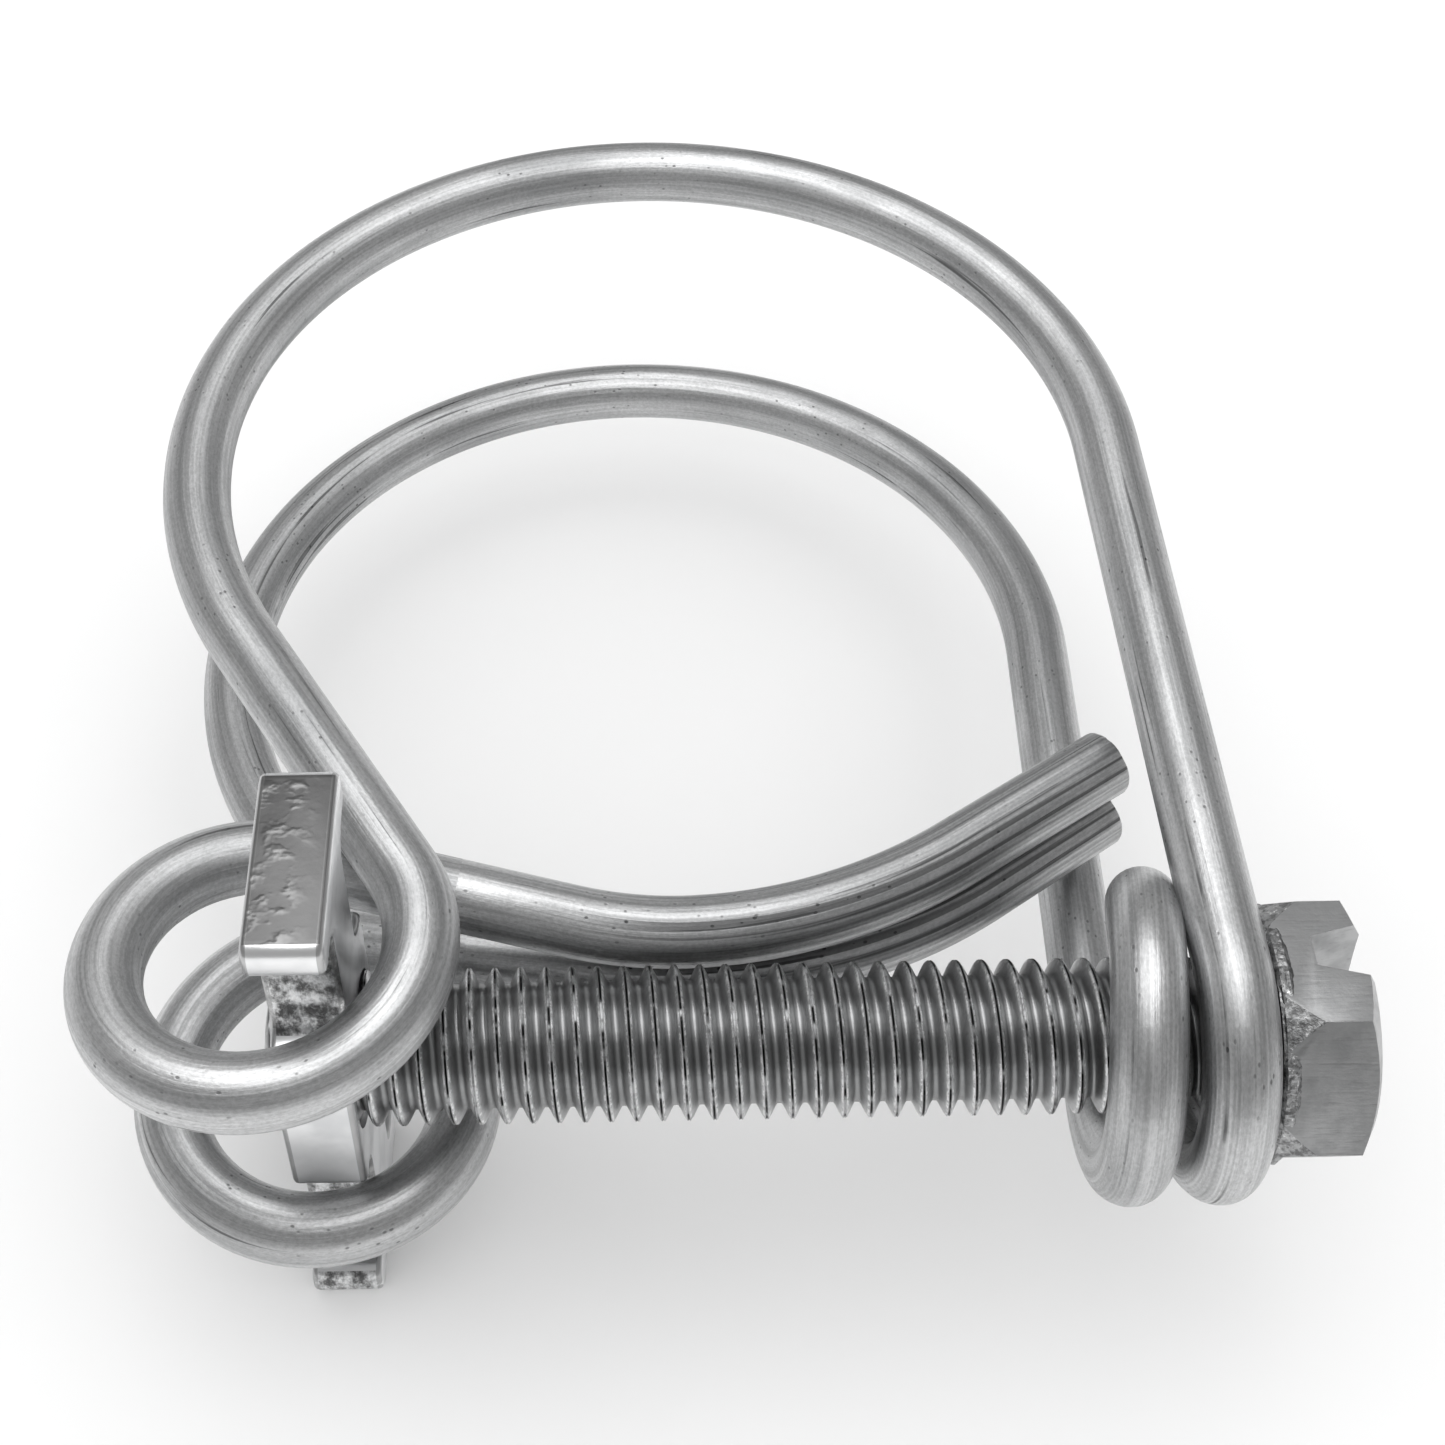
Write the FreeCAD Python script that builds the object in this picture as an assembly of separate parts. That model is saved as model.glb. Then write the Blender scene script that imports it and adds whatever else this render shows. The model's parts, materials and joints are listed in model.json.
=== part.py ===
import FreeCAD, Part
import math
import os
from collections import namedtuple
from FreeCAD import Vector

# Double-wire hose clamp in millimetres. The origin is the middle of the hose passage, +Z runs
# along the hose, +X along the screw towards its head. The bend of spring wire is one piece:
# tail, eye, hoop, coil round the screw, hoop, eye, tail. It is cut here at the two hoops'
# flexing place, so that the eye arms can swing as the wire flexes.

# ---- spring wire ----
WIRE_D = 2.9
UPPER_HOOP_R = 20.15       # centreline radius; the two hoops are bent a little differently
LOWER_HOOP_R = 19.4
UPPER_CROWN_Z = 7.3        # height of each hoop above the middle plane, half-way round
LOWER_CROWN_Z = 7.1
COIL_TURNS = 1.5
COIL_CLEARANCE = 0.6       # between the screw and the coil round it
COIL_TURN_GAP = 0.6        # between the coil's turns
COIL_OUTSET = 0.85         # the coil stands this far outside the upper hoop
COIL_SHIFT_START = 0.22    # share of the coil's length wound flat before it steps sideways
EYE_PLAY = 3.05            # from the nut's necks to the wire of an eye, along the screw
EYE_RISE = 1.9             # the wire meets the eye this far clear of the screw
EYE_DROP_POWER = 1.8       # most of an eye's winding comes late, past the screw
TAIL_OUTSET = 2.35         # the tails' bend is this much larger than the upper hoop
TAIL_CLEARANCE = 0.15      # between the upper tail and the screw's thread
TAIL_SINK = 0.25           # the pair of tails lies this much lower than clear of the coil's level
TAIL_EASE = 17.4           # length over which a tail settles beside the other
TAIL_GAP = 0.1             # between the two tails, side by side

# ---- screw, M6 with a slotted hexagon head ----
SCREW_OUTSET = 5.45        # from the upper hoop's centreline out to the screw's axis
THREAD_MAJOR_D = 6.0
THREAD_PITCH = 1.0
SCREW_LENGTH = 38.0
SCREW_TIP_CHAMFER = 0.7
HEAD_ACROSS_FLATS = 9.5
HEAD_HEIGHT = 3.8
HEAD_CHAMFER = 0.33        # the outer end's circle lies this far inside the flats
HEAD_CHAMFER_SLOPE = 30.0  # degrees from the end face
HEAD_TURN = -1.5           # degrees, how far the head is turned about the screw axis
HEAD_SEAT_GAP = 0.15
COLLAR_RISE = 0.3          # the round collar under the hexagon stands this far outside the flats
COLLAR_HEIGHT = 0.5
COLLAR_RUN_OUT = 0.35      # length over which the collar meets the flats
CORNER_BEVEL = 1.55        # the hexagon's corners are full this far from the seat
SLOT_FLOOR_WIDTH = 1.3
SLOT_MOUTH_WIDTH = 2.4
SLOT_DEPTH = 2.1
SLOT_TURN = -7.0           # degrees, how far the slot is turned about the screw axis

# ---- plate nut ----
NUT_THICKNESS = 2.9
NUT_HEIGHT = 25.0
NUT_BAR_LENGTH = 8.1       # T-bars at both ends
NUT_BAR_THICKNESS = 1.7
NUT_NECK_WIDTH = 3.8       # necks through the wire eyes
NUT_WALL_BESIDE = 0.6      # metal beside the threaded hole
NUT_WALL_ABOVE = 1.4       # metal above and below it
NUT_NECK_FILLET = 0.9
NUT_CORNER_FILLET = 0.6
NUT_EDGE_FILLET = 0.25
NUT_TIP_OVERHANG = 0.6     # the screw stands this far through the nut
NUT_RUNNING_CLEARANCE = 0.05
NUT_TRAVEL = 9.0           # closing travel of the nut along the screw

FLEX_CLEARANCE = 0.25      # left between the wire's cut ends when the clamp is closed

# ---- sizes that follow ----
WIRE_R = WIRE_D / 2
THREAD_R = THREAD_MAJOR_D / 2
SCREW_Y = -(UPPER_HOOP_R + SCREW_OUTSET)
COIL_R = THREAD_R + COIL_CLEARANCE + WIRE_R
COIL_UPPER_X = UPPER_HOOP_R + COIL_OUTSET
COIL_LOWER_X = COIL_UPPER_X - WIRE_D - COIL_TURN_GAP
HEAD_SEAT_X = COIL_UPPER_X + WIRE_R + HEAD_SEAT_GAP
SCREW_TIP_X = HEAD_SEAT_X - SCREW_LENGTH
NUT_LEFT_X = SCREW_TIP_X + NUT_TIP_OVERHANG
NUT_MIDDLE_X = NUT_LEFT_X + NUT_THICKNESS / 2
NUT_BODY_WIDTH = THREAD_MAJOR_D + 2 * NUT_WALL_BESIDE
NUT_BODY_HEIGHT = THREAD_MAJOR_D + 2 * NUT_WALL_ABOVE
EYE_R = NUT_THICKNESS / 2 + EYE_PLAY + WIRE_R
EYE_DROP = WIRE_D          # each eye winds down by one wire, so the tail passes under its hoop
EYE_Z = THREAD_R + WIRE_R + EYE_RISE
TAIL_R = UPPER_HOOP_R + TAIL_OUTSET
TAIL_Z = WIRE_R + TAIL_GAP / 2
TAIL_LOW = COIL_R - TAIL_Z - WIRE_D + TAIL_SINK   # the pair lies this far below the screw's axis
TAIL_Y = SCREW_Y + THREAD_R + WIRE_R + TAIL_CLEARANCE + TAIL_R

# One record for each half of the wire.
Half = namedtuple("Half", "side coil_x hoop_x hoop_y hoop_r crown_z eye_x eye_y eye_z "
                          "tail_x tail_y tail_sweep tail_run")
UPPER = Half(side=1, coil_x=COIL_UPPER_X, hoop_x=0.0, hoop_y=0.0, hoop_r=UPPER_HOOP_R,
             crown_z=UPPER_CROWN_Z, eye_x=NUT_MIDDLE_X - 1.85, eye_y=SCREW_Y + 0.6, eye_z=EYE_Z,
             tail_x=NUT_MIDDLE_X + 12.86, tail_y=TAIL_Y, tail_sweep=42.6, tail_run=8.4)
LOWER = Half(side=-1, coil_x=COIL_LOWER_X, hoop_x=-1.0, hoop_y=0.3, hoop_r=LOWER_HOOP_R,
             crown_z=LOWER_CROWN_Z, eye_x=NUT_MIDDLE_X - 0.95, eye_y=SCREW_Y + 1.3, eye_z=EYE_Z - 0.1,
             tail_x=NUT_MIDDLE_X + 14.0, tail_y=TAIL_Y + 0.16, tail_sweep=46.6, tail_run=6.7)

# The hinge that stands in for the flexing is on the hoops' back left, above mid-travel of the eyes.
FLEX_X = (UPPER.eye_x + LOWER.eye_x + NUT_TRAVEL) / 2
UPPER_FLEX_Y = UPPER.hoop_y + math.sqrt(UPPER.hoop_r ** 2 - (FLEX_X - UPPER.hoop_x) ** 2)
LOWER_FLEX_Y = LOWER.hoop_y + math.sqrt(LOWER.hoop_r ** 2 - (FLEX_X - LOWER.hoop_x) ** 2)
FLEX_Y = (UPPER_FLEX_Y + LOWER_FLEX_Y) / 2
EYE_LEVER = FLEX_Y - (UPPER.eye_y + LOWER.eye_y) / 2
CLOSE_ANGLE = NUT_TRAVEL / EYE_LEVER
FLEX_GAP = WIRE_R * math.sin(CLOSE_ANGLE) + FLEX_CLEARANCE

HOOP_STEP = 15.0           # degrees of bend held by one arc of the wire's path
TIGHT_STEP = 30.0
SETBACK = 0.48             # an arc uses this share of each run beside it


def arc_corners(centre_x, centre_y, radius, start, end, step):
    """Corners of the polygon that touches an arc from outside; angles in degrees."""
    count = max(1, math.ceil(abs(end - start) / step))
    delta = (end - start) / count
    reach = radius / math.cos(math.radians(delta / 2))
    corners = []
    for index in range(count):
        angle = math.radians(start + (index + 0.5) * delta)
        corners.append((centre_x + reach * math.cos(angle), centre_y + reach * math.sin(angle)))
    return corners


def crossing_tangent(x1, y1, r1, x2, y2, r2, side):
    """Angle in degrees, at circle 1, of the tangent that crosses between two circles."""
    dx = x2 - x1
    dy = y2 - y1
    lean = math.acos((r1 + r2) / math.hypot(dx, dy))
    return math.degrees(math.atan2(dy, dx) + side * lean)


def outer_tangent_angle(x, y, half):
    """Angle on the hoop where a straight flank from (x, y) touches it, on the +X side."""
    dx = x - half.hoop_x
    dy = y - half.hoop_y
    lean = math.acos(min(1.0, half.hoop_r / math.hypot(dx, dy)))
    return math.degrees(math.atan2(dy, dx) + lean)


def smooth(value):
    """Smooth step from 0 to 1."""
    value = min(1.0, max(0.0, value))
    return value * value * (3 - 2 * value)


def running_lengths(corners):
    """Distance along a plan polygon at each corner."""
    lengths = [0.0]
    for (x1, y1), (x2, y2) in zip(corners, corners[1:]):
        lengths.append(lengths[-1] + math.hypot(x2 - x1, y2 - y1))
    return lengths


def hoop_corners(half):
    """Plan corners from the coil, up the flank and round the hoop to the eye."""
    start = outer_tangent_angle(half.coil_x, SCREW_Y, half)
    end = crossing_tangent(half.hoop_x, half.hoop_y, half.hoop_r, half.eye_x, half.eye_y, EYE_R, -1)
    end %= 360
    flex = math.degrees(math.acos((FLEX_X - half.hoop_x) / half.hoop_r))
    trim = math.degrees(FLEX_GAP / 2 / half.hoop_r)
    before = arc_corners(half.hoop_x, half.hoop_y, half.hoop_r, start, flex - trim, HOOP_STEP)
    after = arc_corners(half.hoop_x, half.hoop_y, half.hoop_r, flex + trim, end, HOOP_STEP)
    cuts = []
    for angle in (flex - trim, flex + trim):
        turn = math.radians(angle)
        cuts.append((half.hoop_x + half.hoop_r * math.cos(turn), half.hoop_y + half.hoop_r * math.sin(turn)))
    return [(half.coil_x, SCREW_Y)] + before + [cuts[0]], [cuts[1]] + after


def hoop_height(half, share):
    """Height of the hoop's wire at a share of its length from the coil to the eye."""
    at_coil = COIL_R * (1 - share) * (1 - 2 * share)
    at_crown = half.crown_z * 4 * share * (1 - share)
    at_eye = half.eye_z * share * (2 * share - 1)
    return at_coil + at_crown + at_eye


def half_paths(half):
    """Two lists of path corners: after the coil to the flexing place, and on to the tail's end."""
    near, far = hoop_corners(half)
    into_eye = crossing_tangent(half.hoop_x, half.hoop_y, half.hoop_r, half.eye_x, half.eye_y, EYE_R, -1)
    out_of_eye = crossing_tangent(half.tail_x, half.tail_y, TAIL_R, half.eye_x, half.eye_y, EYE_R, 1)
    eye_start = into_eye - 180
    eye_end = out_of_eye - 180
    while eye_end > eye_start - 90:
        eye_end -= 360
    eye = arc_corners(half.eye_x, half.eye_y, EYE_R, eye_start, eye_end, TIGHT_STEP)
    tail_end = out_of_eye + half.tail_sweep
    tail = arc_corners(half.tail_x, half.tail_y, TAIL_R, out_of_eye, tail_end, HOOP_STEP)
    reach = math.hypot(TAIL_R, half.tail_run)
    turn = math.radians(tail_end) + math.atan2(half.tail_run, TAIL_R)
    tail.append((half.tail_x + reach * math.cos(turn), half.tail_y + reach * math.sin(turn)))

    lengths = running_lengths(near + far + eye[:1])
    total = lengths[-1]
    heights = [hoop_height(half, length / total) for length in lengths[:-1]]
    near_path = [Vector(x, y, half.side * z) for (x, y), z in zip(near, heights)][1:]
    far_path = [Vector(x, y, half.side * z) for (x, y), z in zip(far, heights[len(near):])]
    for index, (x, y) in enumerate(eye):
        drop = EYE_DROP * ((index + 0.5) / len(eye)) ** EYE_DROP_POWER
        far_path.append(Vector(x, y, half.side * (half.eye_z - drop)))
    eased = running_lengths(eye[-1:] + tail)[1:]
    for (x, y), length in zip(tail, eased):
        ease = smooth(length / TAIL_EASE)
        z = half.side * ((half.eye_z - EYE_DROP) * (1 - ease) + TAIL_Z * ease) - TAIL_LOW * ease
        far_path.append(Vector(x, y, z))
    return near_path, far_path


def coil_path():
    """Corners of the coil, from the top of its first turn to the bottom of its last."""
    steps = round(COIL_TURNS * 360 / TIGHT_STEP)
    reach = COIL_R / math.cos(math.radians(TIGHT_STEP / 2))
    corners = []
    for index in range(steps):
        share = (index + 0.5) / steps
        angle = math.radians(90 + share * COIL_TURNS * 360)
        shift = smooth((share - COIL_SHIFT_START) / (1 - 2 * COIL_SHIFT_START))
        x = COIL_UPPER_X + (COIL_LOWER_X - COIL_UPPER_X) * shift
        corners.append(Vector(x, SCREW_Y + reach * math.cos(angle), reach * math.sin(angle)))
    return corners


def wire_tube(corners):
    """Round wire along straight runs joined by tangent arcs at the inner corners."""
    heading = (corners[1] - corners[0]).normalize()
    place = corners[0]
    rim = Part.makeCircle(WIRE_R, place, heading)
    faces = [Part.Face(Part.Wire(rim))]
    length = 0.0
    last = len(corners) - 1
    for index in range(1, last):
        corner = corners[index]
        way_in = corner - corners[index - 1]
        way_out = corners[index + 1] - corner
        free_in = way_in.Length * (2 if index == 1 else 1)
        free_out = way_out.Length * (2 if index == last - 1 else 1)
        setback = SETBACK * min(free_in, free_out)
        direction_in = Vector(way_in).normalize()
        direction_out = Vector(way_out).normalize()
        run = corner - direction_in * setback - place
        faces.append(rim.extrude(run))
        rim.translate(run)
        place = place + run
        turn = direction_in.getAngle(direction_out)
        radius = setback / math.tan(turn / 2)
        axis = direction_in.cross(direction_out).normalize()
        centre = place + axis.cross(direction_in) * radius
        faces.append(rim.revolve(centre, axis, math.degrees(turn)))
        rim.rotate(centre, axis, math.degrees(turn))
        place = corner + direction_out * setback
        length += run.Length + radius * turn
    run = corners[last] - place
    faces.append(rim.extrude(run))
    rim.translate(run)
    faces.append(Part.Face(Part.Wire(rim)))
    length += run.Length
    solid = closed_solid(faces)
    print("wire length", round(length, 2), "volume share", round(solid.Volume / (length * math.pi * WIRE_R ** 2), 5))
    return solid


def closed_solid(faces):
    """One solid from faces that meet edge to edge."""
    shell = Part.Compound(faces)
    shell.sewShape()
    solid = Part.Solid(shell.Shells[0])
    if solid.Volume < 0:
        solid.reverse()
    return solid


def thread_profile(start_x, end_x):
    """Outline points of a ringed M6 thread between two places along the screw."""
    depth = 0.613 * THREAD_PITCH
    crest = THREAD_PITCH / 8
    root = THREAD_PITCH / 4
    flank = (THREAD_PITCH - crest - root) / 2
    points = []
    for index in range(int((end_x - start_x) / THREAD_PITCH)):
        x = start_x + index * THREAD_PITCH
        points.append((x, THREAD_R))
        points.append((x + crest, THREAD_R))
        points.append((x + crest + flank, THREAD_R - depth))
        points.append((x + crest + flank + root, THREAD_R - depth))
    points.append((points[-1][0] + flank, THREAD_R))
    return points


def revolved(outline):
    """Solid turned about the screw's axis from (place along it, radius) points."""
    corners = [Vector(x, SCREW_Y + radius, 0) for x, radius in outline]
    face = Part.Face(Part.makePolygon(corners + corners[:1]))
    return face.revolve(Vector(0, SCREW_Y, 0), Vector(1, 0, 0), 360)


def screw_head():
    """Hexagon with a chamfered outer end, bevelled corners and a round collar beneath."""
    flat_r = HEAD_ACROSS_FLATS / 2
    corner_r = flat_r / math.cos(math.radians(30))
    collar_r = flat_r + COLLAR_RISE
    end_x = HEAD_SEAT_X + HEAD_HEIGHT
    hexagon = []
    for index in range(7):
        angle = math.radians(HEAD_TURN + 60 * index)
        hexagon.append(Vector(HEAD_SEAT_X, SCREW_Y + corner_r * math.cos(angle), corner_r * math.sin(angle)))
    head = Part.Face(Part.makePolygon(hexagon)).extrude(Vector(HEAD_HEIGHT, 0, 0))
    chamfer = math.tan(math.radians(HEAD_CHAMFER_SLOPE))
    end_r = flat_r - HEAD_CHAMFER
    clear_r = corner_r + HEAD_CHAMFER
    head = head.common(revolved([
        (HEAD_SEAT_X, 0), (HEAD_SEAT_X, collar_r), (HEAD_SEAT_X + CORNER_BEVEL, corner_r),
        (HEAD_SEAT_X + CORNER_BEVEL, clear_r), (end_x - (clear_r - end_r) * chamfer, clear_r),
        (end_x, end_r), (end_x, 0)]))
    collar = revolved([
        (HEAD_SEAT_X, 0), (HEAD_SEAT_X, collar_r), (HEAD_SEAT_X + COLLAR_HEIGHT, collar_r),
        (HEAD_SEAT_X + COLLAR_HEIGHT + COLLAR_RUN_OUT, flat_r),
        (HEAD_SEAT_X + COLLAR_HEIGHT + COLLAR_RUN_OUT, 0)])
    return head.fuse(collar)


def screw_slot():
    """What the slot takes out of the head: wider at its mouth, right across the head."""
    end_x = HEAD_SEAT_X + HEAD_HEIGHT
    floor_x = end_x - SLOT_DEPTH
    clear_x = end_x + SLOT_DEPTH
    length = 2 * HEAD_ACROSS_FLATS
    half_floor = SLOT_FLOOR_WIDTH / 2
    half_clear = half_floor + SLOT_MOUTH_WIDTH - SLOT_FLOOR_WIDTH
    outline = [(floor_x, -half_floor), (clear_x, -half_clear), (clear_x, half_clear), (floor_x, half_floor)]
    corners = [Vector(x, SCREW_Y + across, -length / 2) for x, across in outline]
    slot = Part.Face(Part.makePolygon(corners + corners[:1])).extrude(Vector(0, 0, length))
    slot.rotate(Vector(0, SCREW_Y, 0), Vector(1, 0, 0), SLOT_TURN)
    return slot


def clamp_screw():
    """Screw with a ringed thread and a slotted hexagon head."""
    outline = [(SCREW_TIP_X, 0), (SCREW_TIP_X, THREAD_R - SCREW_TIP_CHAMFER)]
    outline += thread_profile(SCREW_TIP_X + SCREW_TIP_CHAMFER, COIL_UPPER_X)
    outline += [(HEAD_SEAT_X, THREAD_R), (HEAD_SEAT_X, 0)]
    return revolved(outline).fuse(screw_head()).removeSplitter().cut(screw_slot())


def nut_outline():
    """Half of the nut's outline in its plate plane: (distance across, height) points."""
    body = NUT_BODY_WIDTH / 2
    neck = NUT_NECK_WIDTH / 2
    bar = NUT_BAR_LENGTH / 2
    top = NUT_HEIGHT / 2
    under = top - NUT_BAR_THICKNESS
    shoulder = NUT_BODY_HEIGHT / 2
    upper = [(body, shoulder), (neck, shoulder), (neck, under), (bar, under), (bar, top)]
    lower = [(across, -height) for across, height in reversed(upper)]
    return lower + upper


def plate_nut():
    """I-shaped plate with T-bars beyond the wire eyes and a threaded hole for the screw."""
    half = nut_outline()
    outline = half + [(-across, height) for across, height in reversed(half)]
    corners = [Vector(NUT_LEFT_X, SCREW_Y + across, height) for across, height in outline]
    plate = Part.Face(Part.makePolygon(corners + corners[:1])).extrude(Vector(NUT_THICKNESS, 0, 0))
    necks = [edge for edge in plate.Edges if is_neck_corner(edge)]
    plate = plate.makeFillet(NUT_NECK_FILLET, necks)
    ends = [edge for edge in plate.Edges if is_outer_corner(edge)]
    plate = plate.makeFillet(NUT_CORNER_FILLET, ends)
    rims = [edge for edge in plate.Edges if is_face_rim(edge)]
    plate = plate.makeFillet(NUT_EDGE_FILLET, rims)
    hole_r = THREAD_R + NUT_RUNNING_CLEARANCE
    hole = Part.makeCylinder(hole_r, 3 * NUT_THICKNESS, Vector(NUT_LEFT_X - NUT_THICKNESS, SCREW_Y, 0), Vector(1, 0, 0))
    return plate.cut(hole)


def is_neck_corner(edge):
    """True for the straight inner corner edges through the plate, at the ends of the necks."""
    middle = edge.CenterOfMass
    through = abs(middle.x - NUT_LEFT_X - NUT_THICKNESS / 2) < 0.01
    return through and abs(middle.y - SCREW_Y) < NUT_NECK_WIDTH / 2 + 0.01


def is_outer_corner(edge):
    """True for the straight corner edges through the plate at the bars and the body."""
    box = edge.BoundBox
    middle = edge.CenterOfMass
    through = box.XLength > NUT_THICKNESS - 0.01 and box.YLength < 0.01 and box.ZLength < 0.01
    across = abs(middle.y - SCREW_Y)
    return through and min(abs(across - NUT_BAR_LENGTH / 2), abs(across - NUT_BODY_WIDTH / 2)) < 0.01


def is_face_rim(edge):
    """True for the edges round the plate's two flat faces."""
    box = edge.BoundBox
    left = abs(box.XMin - NUT_LEFT_X) < 0.01 and box.XLength < 0.01
    right = abs(box.XMax - NUT_LEFT_X - NUT_THICKNESS) < 0.01 and box.XLength < 0.01
    return left or right


def main():
    """Build every piece and write it as a STEP file."""
    print("flexing hinge", round(FLEX_X, 4), round(FLEX_Y, 4), "eye lever", round(EYE_LEVER, 4))
    print("closing degrees", round(math.degrees(CLOSE_ANGLE), 4), "screw y", SCREW_Y)
    upper_near, upper_far = half_paths(UPPER)
    lower_near, lower_far = half_paths(LOWER)
    coil_side = list(reversed(upper_near)) + coil_path() + lower_near
    nodes = {
        "wire_coil_half": wire_tube(coil_side),
        "wire_upper_arm": wire_tube(upper_far),
        "wire_lower_arm": wire_tube(lower_far),
        "clamp_screw": clamp_screw(),
        "plate_nut": plate_nut(),
    }
    os.makedirs("parts", exist_ok=True)
    for name, shape in nodes.items():
        print(name, "valid", shape.isValid(), "solids", len(shape.Solids), "volume", round(shape.Volume, 2))
        shape.exportStep(os.path.join("parts", name + ".step"))


main()
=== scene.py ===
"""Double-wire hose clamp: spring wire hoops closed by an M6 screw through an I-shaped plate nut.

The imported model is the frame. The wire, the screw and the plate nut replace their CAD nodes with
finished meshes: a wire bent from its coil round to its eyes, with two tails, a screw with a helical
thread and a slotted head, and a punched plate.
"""
import json
import logging
import math
from dataclasses import dataclass, field
from enum import Enum
from typing import Any, Callable, Iterable, Sequence

import bmesh
import bpy
from mathutils import Matrix, Vector, noise


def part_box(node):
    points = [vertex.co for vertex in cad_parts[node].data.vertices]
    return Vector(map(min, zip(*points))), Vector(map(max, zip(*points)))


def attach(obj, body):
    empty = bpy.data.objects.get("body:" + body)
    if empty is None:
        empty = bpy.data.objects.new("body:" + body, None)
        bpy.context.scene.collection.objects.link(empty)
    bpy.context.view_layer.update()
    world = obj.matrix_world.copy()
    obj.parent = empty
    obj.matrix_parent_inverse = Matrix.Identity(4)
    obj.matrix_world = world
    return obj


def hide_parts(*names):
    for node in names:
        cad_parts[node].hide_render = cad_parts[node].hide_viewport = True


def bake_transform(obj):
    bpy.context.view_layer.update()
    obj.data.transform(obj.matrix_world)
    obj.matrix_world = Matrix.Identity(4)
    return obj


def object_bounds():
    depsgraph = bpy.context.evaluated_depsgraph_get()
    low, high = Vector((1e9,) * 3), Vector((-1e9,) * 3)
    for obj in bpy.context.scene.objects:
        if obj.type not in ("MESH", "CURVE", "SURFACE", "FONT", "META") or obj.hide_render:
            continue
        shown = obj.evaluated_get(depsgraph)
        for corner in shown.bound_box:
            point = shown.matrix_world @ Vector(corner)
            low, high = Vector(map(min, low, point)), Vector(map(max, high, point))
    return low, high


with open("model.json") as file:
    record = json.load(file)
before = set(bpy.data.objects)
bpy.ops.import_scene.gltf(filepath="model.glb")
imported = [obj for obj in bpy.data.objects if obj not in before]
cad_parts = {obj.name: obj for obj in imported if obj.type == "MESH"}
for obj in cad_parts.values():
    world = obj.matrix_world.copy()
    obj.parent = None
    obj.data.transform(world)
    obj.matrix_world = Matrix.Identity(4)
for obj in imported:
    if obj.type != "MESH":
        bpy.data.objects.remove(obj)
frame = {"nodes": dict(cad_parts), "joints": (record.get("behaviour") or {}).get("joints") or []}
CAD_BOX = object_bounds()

MM = 0.001
LOG = logging.getLogger("hose_clamp")

# Attributes that carry a surface's own place to its finish.
WIRE_PLACE = "wire_place"
THREAD_PLACE = "thread_place"
PLATE_FACE = "plate_face"

# The tails' length is counted on from here, in millimetres, so that the wire's finish knows them.
TAIL_MARK = 400.0


class Body(Enum):
    """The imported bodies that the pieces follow."""

    COIL_SIDE = "coil_side"
    EYE_ARMS = "eye_arms"
    SCREW = "screw"
    NUT = "nut"


class Slot(Enum):
    """The record's finish slots."""

    WIRE = "spring_wire"
    SCREW = "screw_steel"
    NUT = "nut_steel"


# ---------------------------------------------------------------- shader maths


class Signal:
    """A socket's output, with arithmetic that adds Math nodes to the same tree."""

    def __init__(self, tree: "Tree", socket: bpy.types.NodeSocket) -> None:
        """Wrap a socket.

        Args:
            tree: the tree that the socket is in.
            socket: the output socket.
        """
        self.tree = tree
        self.socket = socket

    def _math(self, operation: str, first: Any, second: Any = None) -> "Signal":
        """Add one Math node.

        Args:
            operation: the node's operation.
            first: the first value or signal.
            second: the second value or signal, where the operation has one.

        Returns:
            The node's output.
        """
        inputs = {0: first} if second is None else {0: first, 1: second}
        return self.tree.node("ShaderNodeMath", {"operation": operation}, inputs)

    def __add__(self, other: Any) -> "Signal":
        """Sum."""
        return self._math("ADD", self, other)

    __radd__ = __add__

    def __sub__(self, other: Any) -> "Signal":
        """Difference."""
        return self._math("SUBTRACT", self, other)

    def __rsub__(self, other: Any) -> "Signal":
        """Reflected difference."""
        return self._math("SUBTRACT", other, self)

    def __mul__(self, other: Any) -> "Signal":
        """Product."""
        return self._math("MULTIPLY", self, other)

    __rmul__ = __mul__

    def absolute(self) -> "Signal":
        """Size without sign."""
        return self._math("ABSOLUTE", self)

    def band(self, low: float, high: float) -> "Signal":
        """Smooth step of this value.

        Args:
            low: the value that gives 0.
            high: the value that gives 1.

        Returns:
            The step, from 0 to 1.
        """
        settings = {"interpolation_type": "SMOOTHSTEP"}
        return self.tree.node("ShaderNodeMapRange", settings, {0: self, 1: low, 2: high, 3: 0.0, 4: 1.0})


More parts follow.
